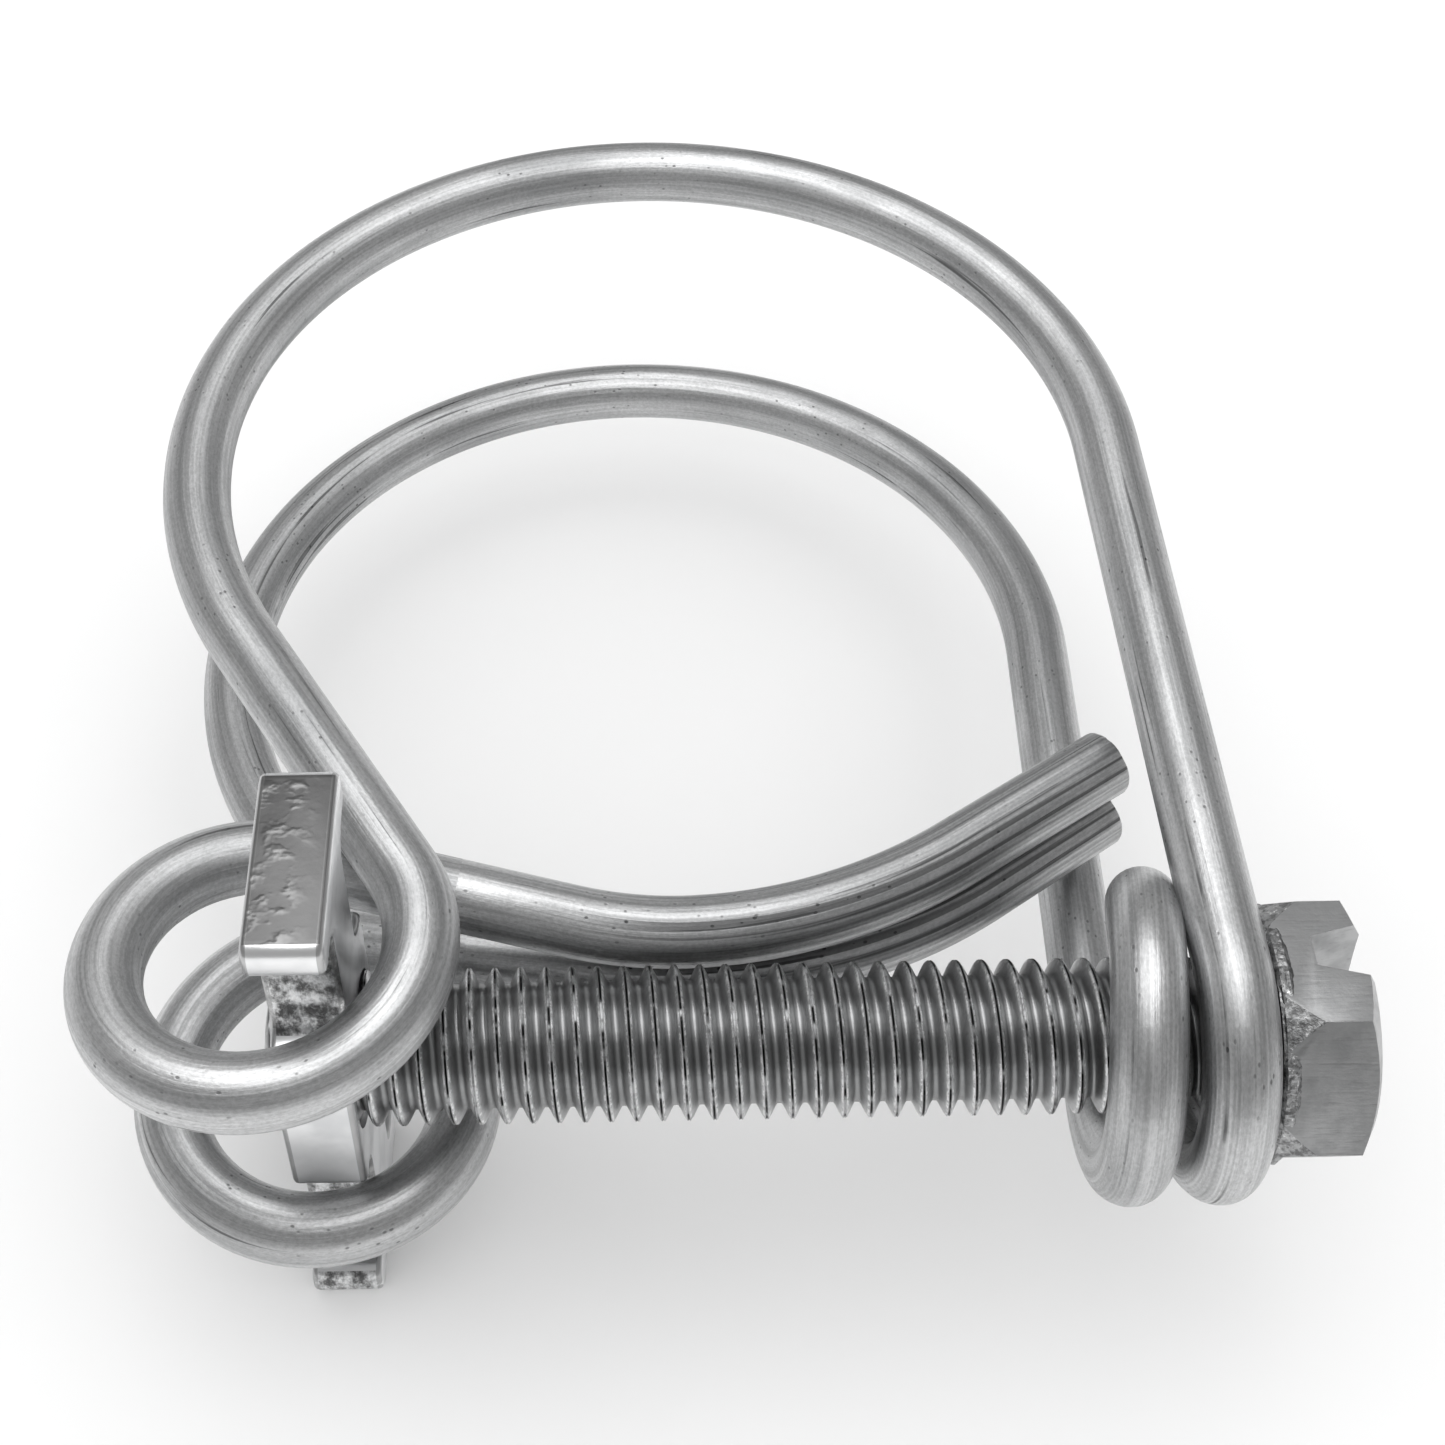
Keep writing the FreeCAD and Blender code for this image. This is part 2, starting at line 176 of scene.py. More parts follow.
class Tree:
    """A material's node tree, filled by one method that takes a node's type and values."""

    def __init__(self, name: str) -> None:
        """Start an empty material.

        Args:
            name: the material's name.
        """
        self.material = bpy.data.materials.new(name)
        self.material.use_nodes = True
        self.nodes = self.material.node_tree.nodes
        self.links = self.material.node_tree.links
        self.nodes.clear()

    def node(self, kind: str, settings: dict | None = None, inputs: dict | None = None,
             output: int | str = 0) -> Signal:
        """Add a node, set it up and feed its sockets.

        Args:
            kind: the node's type.
            settings: the node's own properties, which are set first.
            inputs: values, colours or signals by socket name or number.
            output: the output socket wanted.

        Returns:
            That output as a signal.
        """
        made = self.nodes.new(kind)
        for key, value in (settings or {}).items():
            setattr(made, key, value)
        for key, value in (inputs or {}).items():
            socket = made.inputs[key]
            if isinstance(value, Signal):
                self.links.new(value.socket, socket)
            else:
                socket.default_value = value
        return Signal(self, made.outputs[output])

    def mix(self, share: Any, first: Any, second: Any) -> Signal:
        """Mix two colours.

        Args:
            share: 0 for the first colour, 1 for the second.
            first: an RGBA colour or a signal.
            second: an RGBA colour or a signal.

        Returns:
            The mixed colour.
        """
        return self.node("ShaderNodeMix", {"data_type": "RGBA"}, {0: share, 6: first, 7: second}, 2)

    def noise(self, place: Signal, scale: float, detail: float = 3.0, rough: float = 0.5) -> Signal:
        """Noise at a place.

        Args:
            place: the pattern's coordinates.
            scale: how many features there are in a metre.
            detail: octaves.
            rough: how strong the small octaves are.

        Returns:
            Noise about 0.5.
        """
        return self.node("ShaderNodeTexNoise", None,
                         {"Vector": place, "Scale": scale, "Detail": detail, "Roughness": rough})

    def stretch(self, place: Signal, factors: Sequence[float]) -> Signal:
        """Scale a place's axes apart.

        Args:
            place: the coordinates.
            factors: one factor for each axis.

        Returns:
            The stretched coordinates.
        """
        return self.node("ShaderNodeVectorMath", {"operation": "MULTIPLY"}, {0: place, 1: tuple(factors)})

    def split(self, place: Signal) -> tuple[Signal, Signal, Signal]:
        """Take a vector's three numbers apart.

        Args:
            place: the vector.

        Returns:
            Its X, Y and Z.
        """
        first = self.node("ShaderNodeSeparateXYZ", None, {0: place})
        outputs = first.socket.node.outputs
        return first, Signal(self, outputs[1]), Signal(self, outputs[2])

    def bump(self, height: Signal, depth: float, below: Signal | None = None) -> Signal:
        """Bend the normal by a height.

        Args:
            height: the height, from 0 to 1.
            depth: what 1 stands for, in metres.
            below: a coarser bump under this one.

        Returns:
            The new normal.
        """
        inputs: dict = {"Height": height, "Distance": depth, "Strength": 1.0}
        if below is not None:
            inputs["Normal"] = below
        return self.node("ShaderNodeBump", None, inputs)

    def finish(self, colour: Any, roughness: Any, normal: Signal | None,
               metallic: float = 1.0) -> bpy.types.Material:
        """End the tree in one Principled surface.

        Args:
            colour: base colour.
            roughness: roughness.
            normal: the bent normal, if any.
            metallic: metallic share.

        Returns:
            The material.
        """
        inputs: dict = {"Base Color": colour, "Roughness": roughness, "Metallic": metallic}
        if normal is not None:
            inputs["Normal"] = normal
        surface = self.node("ShaderNodeBsdfPrincipled", None, inputs)
        out = self.nodes.new("ShaderNodeOutputMaterial")
        self.links.new(surface.socket, out.inputs["Surface"])
        return self.material


def grey(level: float, cool: float = 0.0) -> tuple[float, float, float, float]:
    """A grey, a little blue where cool is above 0."""
    return (level * (1 - cool), level, level * (1 + cool), 1.0)


# ---------------------------------------------------------------- finishes


@dataclass(frozen=True)
class DrawnWireFinish:
    """Plated spring wire: satin, with fine lines from drawing along its length, pits and soft stains."""

    name: str = "drawn_spring_wire"
    bright: float = 0.72
    dull: float = 0.47
    groove: float = 0.10
    tail: float = 0.28
    rough_low: float = 0.38
    rough_high: float = 0.50

    def material(self) -> bpy.types.Material:
        """Build the material, on the wire's own place attribute."""
        tree = Tree(self.name)
        place = tree.node("ShaderNodeAttribute", {"attribute_name": WIRE_PLACE}, None, "Vector")
        lines = tree.noise(tree.stretch(place, (1, 1, 0.010)), 7500, 3, 0.6)
        scores = tree.noise(tree.stretch(place, (1, 1, 0.022)), 3000, 3, 0.55)
        streaks = tree.noise(tree.stretch(place, (1, 1, 0.07)), 800, 3, 0.55)
        stains = tree.noise(tree.stretch(place, (1, 1, 0.5)), 190, 4, 0.65)
        grain = tree.noise(tree.stretch(place, (1, 1, 0.6)), 9000, 3, 0.7)
        specks = tree.node("ShaderNodeTexVoronoi", {"feature": "F1"},
                           {"Vector": tree.stretch(place, (1, 1, 0.7)), "Scale": 2600.0, "Randomness": 1.0})
        sparse = tree.noise(place, 380, 2, 0.5).band(0.46, 0.60)
        pits = specks.band(0.20, 0.08) * sparse
        gloom = streaks.band(0.40, 0.66) * 0.55 + stains.band(0.42, 0.66) * 0.45
        colour = tree.mix(gloom, grey(self.bright, 0.006), grey(self.dull, 0.012))
        length = tree.split(place)[2]
        tails = length.band(TAIL_MARK * MM + 0.002, TAIL_MARK * MM + 0.010)
        ridges = tree.noise(tree.stretch(place, (1, 1, 0.006)), 2300, 2, 0.5)
        thin = scores.band(0.38, 0.29) * stains.band(0.40, 0.50)
        thin = thin + tails * ridges.band(0.42, 0.36)
        colour = tree.mix(tails * ridges.band(0.42, 0.60) * 0.75, colour, grey(self.tail, 0.01))
        veil = (lines - 0.5) * 0.9 + (grain - 0.5) * 0.7 + 0.5
        colour = tree.mix(veil.band(0.75, 0.25) * 0.42, colour, grey(self.groove, 0.01))
        colour = tree.mix(thin * 0.80 + pits * 0.60, colour, grey(self.groove, 0.01))
        roughness = gloom * (self.rough_high - self.rough_low) + self.rough_low + pits * 0.15 + thin * 0.10
        coarse = tree.bump(streaks + stains * 0.8 + tails * ridges * 2.2, 30e-6)
        fine = tree.bump(lines * 0.8 + grain * 0.6 + scores * 0.9 - pits * 0.6, 13e-6, coarse)
        return tree.finish(colour, roughness, fine)


@dataclass(frozen=True)
class RolledScrewFinish:
    """Plated screw: rolled thread with a seam on its crests, dull flats and a torn collar, with painted shade
    in the thread's roots, the crest seam, the head's edge strips and the collar's hollows, and painted
    highlights beside the crests and on the collar's crumbs.
    """

    name: str = "rolled_screw_steel"
    bright: float = 0.62
    dull: float = 0.44
    # root: painted shade for the thread's roots; it is also the head flats' dull grey and the scratches'
    # grey.
    root: float = 0.24
    # seam: painted shade for the crest seam's fold and the head's narrow edge strips; doubled, it darkens the
    # torn faces' hollows.
    seam: float = 0.05
    glint: float = 0.92

    def material(self) -> bpy.types.Material:
        """Build the material, on Object coordinates and the thread's own place attribute."""
        tree = Tree(self.name)
        place = tree.node("ShaderNodeTexCoord", None, None, "Object")
        thread = tree.node("ShaderNodeAttribute", {"attribute_name": THREAD_PLACE}, None, "Vector")
        depth, side, torn = tree.split(thread)
        mottled = tree.noise(place, 900, 4, 0.6)
        fine = tree.noise(place, 6500, 3, 0.65)
        scratches = tree.noise(tree.stretch(place, (0.10, 1, 1)), 7000, 3, 0.6)
        crumbs = tree.noise(place, 2800, 4, 0.7)
        gloom = mottled.band(0.36, 0.68)
        colour = tree.mix(gloom, grey(self.bright, 0.006), grey(self.dull, 0.010))
        # Painted shade: the thread darkens towards its roots. The head's flats, at a fixed depth, take part
        # of the same grey as their dull tone.
        colour = tree.mix(depth.band(0.25, 0.9) * 0.8, colour, grey(self.root, 0.008))
        aside = side.absolute()
        crest = (1 - depth.band(0.25, 0.5)) * (1 - torn)
        broken = tree.noise(place, 900, 3, 0.6)
        # Painted shade: a broken dark line along the crest seam's fold, and along the head's narrow edge
        # strips, whose side number is 0.
        line = (1 - aside.band(0.03, 0.14)) * crest * broken.band(0.40, 0.54)
        colour = tree.mix(line, colour, grey(self.seam))
        # Painted highlight: a broken bright band beside the crest seam.
        crest_highlight = aside.band(0.12, 0.18) * (1 - aside.band(0.22, 0.34)) * crest * crumbs.band(0.46, 0.56)
        colour = tree.mix(crest_highlight, colour, grey(self.glint))
        # Painted shade in the torn faces' hollows and painted glints on their raised crumbs.
        colour = tree.mix(torn * crumbs.band(0.56, 0.40) * 0.8, colour, grey(self.seam * 2))
        colour = tree.mix(torn * crumbs.band(0.60, 0.68), colour, grey(self.glint))
        colour = tree.mix(scratches.band(0.44, 0.30) * 0.4, colour, grey(self.root))
        roughness = gloom * 0.08 + 0.30 + torn * 0.06
        normal = tree.bump(mottled, 5e-6)
        normal = tree.bump(fine * 0.5 + scratches * 0.7 + crumbs * torn * 9, 7e-6, normal)
        return tree.finish(colour, roughness, normal)


@dataclass(frozen=True)
class PunchedPlateFinish:
    """Plated punched plate: dented ends with painted shade, torn necks with painted shade and glints, rims
    with painted shade and smooth bright body sides.
    """

    name: str = "punched_nut_steel"
    bright: float = 0.92
    dull: float = 0.76
    # end: painted shade for the plate's end faces, top and bottom.
    end: float = 0.17
    rim: float = 0.30
    shadow: float = 0.12
    glint: float = 0.95

    def material(self) -> bpy.types.Material:
        """Build the material, on Object coordinates and the plate's own face attribute."""
        tree = Tree(self.name)
        place = tree.node("ShaderNodeTexCoord", None, None, "Object")
        faces = tree.node("ShaderNodeAttribute", {"attribute_name": PLATE_FACE}, None, "Vector")
        ends, torn, rim = tree.split(faces)
        mottled = tree.noise(place, 420, 3, 0.5)
        fine = tree.noise(place, 7000, 3, 0.65)
        crumbs = tree.noise(tree.stretch(place, (1, 1, 0.6)), 1500, 4, 0.68)
        dents = tree.noise(tree.stretch(place, (0.8, 1, 1)), 1500, 2, 0.5)
        leftward = tree.split(place)[0] * (-1 / MM)
        dented = dents.band(0.48, 0.74) * ends * leftward.band(12.2, 13.6)
        gloom = mottled.band(0.36, 0.68)
        colour = tree.mix(gloom, grey(self.bright, 0.006), grey(self.dull, 0.010))
        # Painted shade: the plate's end faces, top and bottom, are given a dark grey.
        colour = tree.mix(ends, colour, tree.mix(gloom, grey(self.end), grey(self.end * 1.25)))
        colour = tree.mix(torn * crumbs.band(0.62, 0.38), colour, grey(self.shadow))
        # Painted shade: the rounded rims are darkened.
        colour = tree.mix(rim * 0.6, colour, grey(self.rim))
        colour = tree.mix(dented * 0.12 + torn * crumbs.band(0.60, 0.68), colour, grey(self.glint))
        roughness = gloom * 0.06 + 0.30 + ends * 0.10 - dented * 0.08
        height = mottled * 0.4 + dented * 1.1 + dents * ends * 0.35 + crumbs * torn * 3.5
        normal = tree.bump(fine, 5e-6, tree.bump(height, 30e-6))
        return tree.finish(colour, roughness, normal)


@dataclass(frozen=True)
class FloorFinish:
    """Plain pale table top with a faint grain."""

    name: str = "pale_floor"
    level: float = 0.86

    def material(self) -> bpy.types.Material:
        """Build the material, on Object coordinates."""
        tree = Tree(self.name)
        place = tree.node("ShaderNodeTexCoord", None, None, "Object")
        grain = tree.noise(place, 40, 2, 0.5)
        colour = tree.mix(grain.band(0.3, 0.7), grey(self.level), grey(self.level * 0.98))
        return tree.finish(colour, 0.55, None, 0.0)


# ---------------------------------------------------------------- mesh helpers


def piece(name: str, mesh: bmesh.types.BMesh, material: bpy.types.Material,
          sharp: float = 35.0) -> bpy.types.Object:
    """Turn a bmesh into a finished piece.

    Args:
        name: the piece's name.
        mesh: the mesh, in place and in metres.
        material: its finish.
        sharp: edges that turn by more degrees than this stay sharp.

    Returns:
        The new object, at the origin.
    """
    for face in mesh.faces:
        face.smooth = True
    for edge in mesh.edges:
        if len(edge.link_faces) == 2 and edge.calc_face_angle(0.0) > math.radians(sharp):
            edge.smooth = False
    data = bpy.data.meshes.new(name)
    mesh.to_mesh(data)
    mesh.free()
    data.materials.append(material)
    made = bpy.data.objects.new(name, data)
    bpy.context.scene.collection.objects.link(made)
    return made


def applied(made: bpy.types.Object) -> bmesh.types.BMesh:
    """Take an object's mesh with its modifiers worked in, and remove the object.

    Args:
        made: the object.

    Returns:
        Its final mesh.
    """
    bpy.context.view_layer.update()
    graph = bpy.context.evaluated_depsgraph_get()
    mesh = bmesh.new()
    mesh.from_object(made, graph)
    bpy.data.objects.remove(made)
    return mesh


def mark(mesh: bmesh.types.BMesh, label: str, rule: Callable[[bmesh.types.BMFace], Sequence[float]]) -> None:
    """Write one attribute value on each face's corners, for a finish.

    Args:
        mesh: the mesh.
        label: the attribute's name.
        rule: gives the three numbers of a face.
    """
    layer = mesh.loops.layers.float_vector.new(label)
    for face in mesh.faces:
        value = Vector(rule(face))
        for loop in face.loops:
            loop[layer] = value


class Joining(Enum):
    """How two closed meshes are combined."""

    CUT = "DIFFERENCE"
    JOIN = "UNION"


def combined(body: bmesh.types.BMesh, tool: bmesh.types.BMesh, joining: Joining) -> bmesh.types.BMesh:
    """Cut one closed mesh out of another, or join them.

    Args:
        body: the first mesh.
        tool: the second mesh.
        joining: what is done with them.

    Returns:
        The resulting mesh.
    """
    objects = []
    for label, mesh in (("work_body", body), ("work_tool", tool)):
        bmesh.ops.recalc_face_normals(mesh, faces=mesh.faces)
        data = bpy.data.meshes.new(label)
        mesh.to_mesh(data)
        mesh.free()
        made = bpy.data.objects.new(label, data)
        bpy.context.scene.collection.objects.link(made)
        objects.append(made)
    modifier = objects[0].modifiers.new("joining", "BOOLEAN")
    modifier.operation = joining.value
    modifier.solver = "EXACT"
    modifier.object = objects[1]
    result = applied(objects[0])
    bpy.data.objects.remove(objects[1])
    return result


# ---------------------------------------------------------------- spring wire


class Side(Enum):
    """The upper and the lower half of the wire."""

    UPPER = 1
    LOWER = -1


@dataclass
class HalfRoute:
    """One half of the wire's centreline, in millimetres and degrees, as it is bent."""

    side: Side
    coil_x: float
    hoop_x: float
    hoop_y: float
    hoop_r: float
    crown_z: float
    eye_x: float
    eye_y: float
    eye_z: float
    tail_x: float
    tail_y: float
    tail_sweep: float
    tail_run: float


@dataclass
class WireSizes:
    """Sizes that both halves of the wire share, in millimetres."""

    diameter: float = 2.9
    screw_y: float = -25.6
    coil_r: float = 5.05
    coil_turns: float = 1.5
    coil_shift_start: float = 0.22
    eye_r: float = 5.95
    eye_drop: float = 2.9
    eye_drop_power: float = 1.8
    tail_r: float = 22.5
    tail_low: float = 0.9
    tail_ease: float = 17.4
    tail_gap: float = 0.1
    tail_end_round: float = 0.16
    hoop_step: float = 15.0
    tight_step: float = 30.0
    setback: float = 0.49
    ring_step: float = 0.45
    around: int = 40


def smooth(value: float) -> float:
    """Smooth step from 0 to 1."""
    value = min(1.0, max(0.0, value))
    return value * value * (3 - 2 * value)


@dataclass
class SpringWire:
    """The bent spring wire: coil, two hoops, two eyes and two tails."""

    sizes: WireSizes = field(default_factory=WireSizes)
    upper: HalfRoute = field(default_factory=lambda: HalfRoute(
        Side.UPPER, coil_x=21.0, hoop_x=0.0, hoop_y=0.0, hoop_r=20.15, crown_z=7.3,
        eye_x=-15.2, eye_y=-25.0, eye_z=6.35, tail_x=-0.49, tail_y=1.5, tail_sweep=42.6, tail_run=8.4))
    lower: HalfRoute = field(default_factory=lambda: HalfRoute(
        Side.LOWER, coil_x=17.5, hoop_x=-1.0, hoop_y=0.3, hoop_r=19.4, crown_z=7.1,
        eye_x=-14.3, eye_y=-24.3, eye_z=6.25, tail_x=0.65, tail_y=1.66, tail_sweep=46.6, tail_run=6.7))
    flex_lean: float = 18.0
    flex_reach: float = 9.6

    def arc_corners(self, x: float, y: float, radius: float, start: float, end: float,
                    step: float) -> list[tuple[float, float]]:
        """Corners of the polygon that touches an arc from outside.

        Args:
            x: centre.
            y: centre.
            radius: the arc's radius.
            start: first angle in degrees.
            end: last angle in degrees.
            step: the most that one corner turns.

        Returns:
            The corners in plan.
        """
        count = max(1, math.ceil(abs(end - start) / step))
        delta = (end - start) / count
        reach = radius / math.cos(math.radians(delta / 2))
        angles = [math.radians(start + (index + 0.5) * delta) for index in range(count)]
        return [(x + reach * math.cos(angle), y + reach * math.sin(angle)) for angle in angles]

    def crossing_angle(self, x: float, y: float, radius: float, half: HalfRoute, side: int) -> float:
        """Angle, at a circle, of its crossing tangent with the half's eye.

        Args:
            x: the circle's centre.
            y: the circle's centre.
            radius: the circle's radius.
            half: the half whose eye it is.
            side: which of the two tangents.

        Returns:
            The angle in degrees.
        """
        dx = half.eye_x - x
        dy = half.eye_y - y
        lean = math.acos((radius + self.sizes.eye_r) / math.hypot(dx, dy))
        return math.degrees(math.atan2(dy, dx) + side * lean)

    def hoop_plan(self, half: HalfRoute) -> list[tuple[float, float]]:
        """Plan corners from the coil, up the flank and round the hoop."""
        dx = half.coil_x - half.hoop_x
        dy = self.sizes.screw_y - half.hoop_y
        lean = math.acos(min(1.0, half.hoop_r / math.hypot(dx, dy)))
        start = math.degrees(math.atan2(dy, dx) + lean)
        end = self.crossing_angle(half.hoop_x, half.hoop_y, half.hoop_r, half, -1) % 360
        return self.arc_corners(half.hoop_x, half.hoop_y, half.hoop_r, start, end, self.sizes.hoop_step)

    def half_path(self, half: HalfRoute) -> tuple[list[Vector], list[Vector]]:
        """Path corners after the coil, split where the tail leaves the eye.

        Args:
            half: the half of the wire.

        Returns:
            The hoop and eye's corners, and the tail's corners.
        """
        size = self.sizes
        hoop = self.hoop_plan(half)
        into_eye = self.crossing_angle(half.hoop_x, half.hoop_y, half.hoop_r, half, -1)
        from_eye = self.crossing_angle(half.tail_x, half.tail_y, size.tail_r, half, 1)
        eye_start = into_eye - 180
        eye_end = from_eye - 180
        while eye_end > eye_start - 90:
            eye_end -= 360
        eye = self.arc_corners(half.eye_x, half.eye_y, size.eye_r, eye_start, eye_end, size.tight_step)
        tail_end = from_eye + half.tail_sweep
        tail = self.arc_corners(half.tail_x, half.tail_y, size.tail_r, from_eye, tail_end, size.hoop_step)
        turn = math.radians(tail_end) + math.atan2(half.tail_run, size.tail_r)
        reach = math.hypot(size.tail_r, half.tail_run)
        tail.append((half.tail_x + reach * math.cos(turn), half.tail_y + reach * math.sin(turn)))

        sign = half.side.value
        lengths = running_lengths([(half.coil_x, size.screw_y)] + hoop + eye[:1])
        wound = []
        for (x, y), length in zip(hoop, lengths[1:]):
            share = length / lengths[-1]
            z = (size.coil_r * (1 - share) * (1 - 2 * share) + half.crown_z * 4 * share * (1 - share)
                 + half.eye_z * share * (2 * share - 1))
            wound.append(Vector((x, y, sign * z)))
        for index, (x, y) in enumerate(eye):
            drop = size.eye_drop * ((index + 0.5) / len(eye)) ** size.eye_drop_power
            wound.append(Vector((x, y, sign * (half.eye_z - drop))))
        settled = []
        rest_z = (size.diameter + size.tail_gap) / 2
        for (x, y), length in zip(tail, running_lengths(eye[-1:] + tail)[1:]):
            ease = smooth(length / size.tail_ease)
            z = sign * ((half.eye_z - size.eye_drop) * (1 - ease) + rest_z * ease) - size.tail_low * ease
            settled.append(Vector((x, y, z)))
        return wound, settled

    def coil_path(self) -> list[Vector]:
        """Corners of the coil, from the top of its first turn to the bottom of its last."""
        size = self.sizes
        steps = round(size.coil_turns * 360 / size.tight_step)
        reach = size.coil_r / math.cos(math.radians(size.tight_step / 2))
        corners = []
        for index in range(steps):
            share = (index + 0.5) / steps
            angle = math.radians(90 + share * size.coil_turns * 360)
            shift = smooth((share - size.coil_shift_start) / (1 - 2 * size.coil_shift_start))
            x = self.upper.coil_x + (self.lower.coil_x - self.upper.coil_x) * shift
            corners.append(Vector((x, size.screw_y + reach * math.cos(angle), reach * math.sin(angle))))
        return corners

    def build(self, material: bpy.types.Material) -> list[bpy.types.Object]:
        """Build the hoops with their coil and eyes, and the two tails.

        Args:
            material: the wire's finish.

        Returns:
            The pieces.
        """
        upper, upper_tail = self.half_path(self.upper)
        lower, lower_tail = self.half_path(self.lower)
        seams = [self.tail_seam(wound, tail) for wound, tail in ((upper, upper_tail), (lower, lower_tail))]
        middle = [seams[0]] + list(reversed(upper)) + self.coil_path() + lower + [seams[1]]
        hoops = self.tube(middle, 0.0)
        pieces = [piece("spring_wire_hoops", hoops.mesh, material)]
        for label, seam, tail in (("upper_tail", seams[0], upper_tail), ("lower_tail", seams[1], lower_tail)):
            made = self.tube([seam] + tail, TAIL_MARK)
            made.blunt(self.sizes.tail_end_round)
            pieces.append(piece(label, made.mesh, material))
        return pieces

    def tail_seam(self, wound: list[Vector], tail: list[Vector]) -> Vector:
        """Where the tail's piece starts, under the crossing of the wire."""
        return wound[-1].lerp(tail[0], 0.5)

    def tube(self, corners: list[Vector], started: float) -> "WireTube":
        """Sweep the wire along corners.

        Args:
            corners: the path's corners in millimetres.
            started: the length already run, for the finish.

        Returns:
            The swept tube.
        """
        tube = WireTube(corners[0], corners[1], self.sizes, started)
        last = len(corners) - 1
        place = corners[0]
        for index in range(1, last):
            way_in = corners[index] - corners[index - 1]
            way_out = corners[index + 1] - corners[index]
            free_in = way_in.length * (2 if index == 1 else 1)
            free_out = way_out.length * (2 if index == last - 1 else 1)
            setback = self.sizes.setback * min(free_in, free_out)
            tube.run(corners[index] - way_in.normalized() * setback - place)
            tube.bend(way_in.normalized(), way_out.normalized(), setback)
            place = corners[index] + way_out.normalized() * setback
        tube.run(corners[last] - place)
        tube.rim_way = (corners[last] - place).normalized()
        tube.close()
        return tube


def running_lengths(corners: Sequence[tuple[float, float]]) -> list[float]:
    """Distance along a plan polygon at each corner."""
    lengths = [0.0]
    for (x1, y1), (x2, y2) in zip(corners, corners[1:]):
        lengths.append(lengths[-1] + math.hypot(x2 - x1, y2 - y1))
    return lengths


class WireTube:
    """A round wire that grows by runs and bends from one rim."""

    def __init__(self, start: Vector, towards: Vector, sizes: WireSizes, started: float) -> None:
        """Set the first rim.

        Args:
            start: the first point, in millimetres.
            towards: the next point.
            sizes: the wire's sizes.
            started: the length already run.
        """
        self.sizes = sizes
        self.mesh = bmesh.new()
        self.layer = self.mesh.verts.layers.float_vector.new(WIRE_PLACE)
        self.place = start.copy()
        self.length = started
        self.last_rim: list[bmesh.types.BMEdge] = []
        self.rim_way = Vector((1, 0, 0))
        turn = Vector((0, 0, 1)).rotation_difference(towards - start).to_matrix().to_4x4()
        radius = sizes.diameter / 2
        made = bmesh.ops.create_circle(self.mesh, segments=sizes.around, radius=radius * MM)
        self.rim = made["verts"]
        for vert in self.rim:
            vert[self.layer] = Vector((vert.co.x, vert.co.y, started * MM))
        bmesh.ops.transform(self.mesh, matrix=Matrix.Translation(start * MM) @ turn, verts=self.rim)
        bmesh.ops.contextual_create(self.mesh, geom=self.rim)

    def advance(self, grown: Iterable[Any], distance: float) -> None:
        """Take the new rim and note the length run there.

        Args:
            grown: the geometry that was just made.
            distance: how far the rim moved.
        """
        self.rim = [item for item in grown if isinstance(item, bmesh.types.BMVert)]
        self.length += distance
        for vert in self.rim:
            old = vert[self.layer]
            vert[self.layer] = Vector((old.x, old.y, self.length * MM))

    def edges_of_rim(self) -> list[bmesh.types.BMEdge]:
        """The rim's own edges."""
        inside = set(self.rim)
        found = {edge for vert in self.rim for edge in vert.link_edges if edge.other_vert(vert) in inside}
        return list(found)

    def run(self, way: Vector) -> None:
        """Grow straight.

        Args:
            way: the run, in millimetres.
        """
        if way.length < 1e-4:
            return
        steps = max(1, math.ceil(way.length / (2 * self.sizes.ring_step)))
        for _ in range(steps):
            grown = bmesh.ops.extrude_edge_only(self.mesh, edges=self.edges_of_rim())["geom"]
            self.advance(grown, way.length / steps)
            bmesh.ops.translate(self.mesh, vec=way * (MM / steps), verts=self.rim)
        self.place = self.place + way

    def bend(self, way_in: Vector, way_out: Vector, setback: float) -> None:
        """Grow round a tangent arc.

        Args:
            way_in: direction before the bend.
            way_out: direction after it.
            setback: distance from the corner to the arc's ends, in millimetres.
        """
        turn = way_in.angle(way_out)
        if turn < 1e-5:
            self.run(way_in * 2 * setback)
            return
        radius = setback / math.tan(turn / 2)
        axis = way_in.cross(way_out).normalized()
        centre = self.place + axis.cross(way_in) * radius
        steps = max(1, math.ceil(radius * turn / self.sizes.ring_step))
        for _ in range(steps):
            geom = self.rim + self.edges_of_rim()
            grown = bmesh.ops.spin(self.mesh, geom=geom, cent=centre * MM, axis=axis, dvec=(0, 0, 0),
                                   angle=turn / steps, steps=1)["geom_last"]
            self.advance(grown, radius * turn / steps)
        self.place = self.place + (way_in + way_out) * setback

    def close(self) -> None:
        """Close the last rim and turn all faces outwards."""
        self.last_rim = self.edges_of_rim()
        bmesh.ops.contextual_create(self.mesh, geom=self.last_rim)
        bmesh.ops.recalc_face_normals(self.mesh, faces=self.mesh.faces)

    def blunt(self, width: float) -> None:
        """Take the edge off the sheared end, unevenly.

        Args:
            width: the edge's mean width in millimetres.
        """
        for vert in self.rim:
            ragged = noise.noise(vert.co / MM * 0.7) * width
            vert.co += (self.rim_way * -abs(ragged)) * MM
        bmesh.ops.bevel(self.mesh, geom=self.last_rim, offset=width * MM, offset_type="OFFSET", segments=2,
                        profile=0.5, affect="EDGES", material=-1, clamp_overlap=True)
        bmesh.ops.recalc_face_normals(self.mesh, faces=self.mesh.faces)


# ---------------------------------------------------------------- clamp screw


